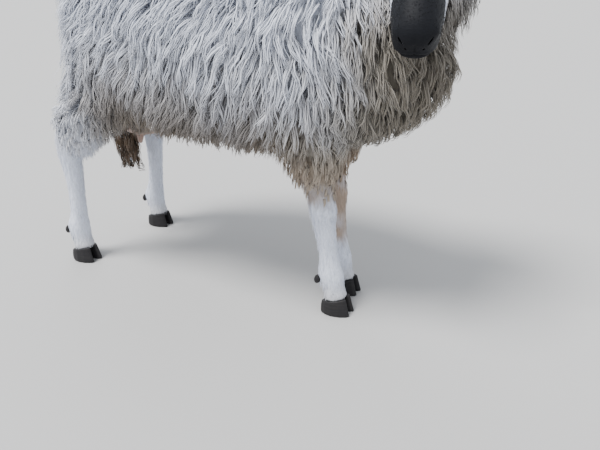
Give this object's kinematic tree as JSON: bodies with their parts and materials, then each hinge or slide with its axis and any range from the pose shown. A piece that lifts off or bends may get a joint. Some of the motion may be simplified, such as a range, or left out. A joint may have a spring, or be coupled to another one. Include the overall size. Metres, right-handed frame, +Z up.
{
  "type": "dorper ewe",
  "caption": "Still, life-size ewe standing in long shaggy white fleece, head turned to her right, black muzzle, clean white legs and a long woolly tail.",
  "frame": {"origin": "on the floor, under the middle of the whole ewe's box", "axes": "+X forward from tail to chest, +Y to her left, +Z up"},
  "size_m": [0.8808, 0.4108, 0.7098],
  "materials": {
    "fleece": "shaggy off-white wool in long locks, creamier low down",
    "stained_fleece": "long wool stained brown",
    "short_hair": "short flat white hair, tan above the knees",
    "face": "short sleek hair, black on the muzzle and white on the cheeks",
    "horn": "black hoof horn, dull",
    "skin": "bare pinkish skin",
    "eye": "wet amber-brown eye with a long level pupil"
  },
  "bodies": {
    "root": {"torso": "fleece", "neck": "fleece", "thigh_left": "fleece", "thigh_right": "fleece", "tail": "stained_fleece", "udder": "skin", "head": "face", "ear_left": "short_hair", "ear_right": "short_hair", "eye_left": "eye", "eye_right": "eye", "foreleg_left": "short_hair", "foreleg_right": "short_hair", "hindleg_left": "short_hair", "hindleg_right": "short_hair", "hoof_foreleg_left_outer": "horn", "hoof_foreleg_left_inner": "horn", "hoof_foreleg_right_outer": "horn", "hoof_foreleg_right_inner": "horn", "hoof_hindleg_left_outer": "horn", "hoof_hindleg_left_inner": "horn", "hoof_hindleg_right_outer": "horn", "hoof_hindleg_right_inner": "horn", "dewclaw_foreleg_left_outer": "horn", "dewclaw_foreleg_left_inner": "horn", "dewclaw_foreleg_right_outer": "horn", "dewclaw_foreleg_right_inner": "horn", "dewclaw_hindleg_left_outer": "horn", "dewclaw_hindleg_left_inner": "horn", "dewclaw_hindleg_right_outer": "horn", "dewclaw_hindleg_right_inner": "horn"}
  },
  "joints": []
}
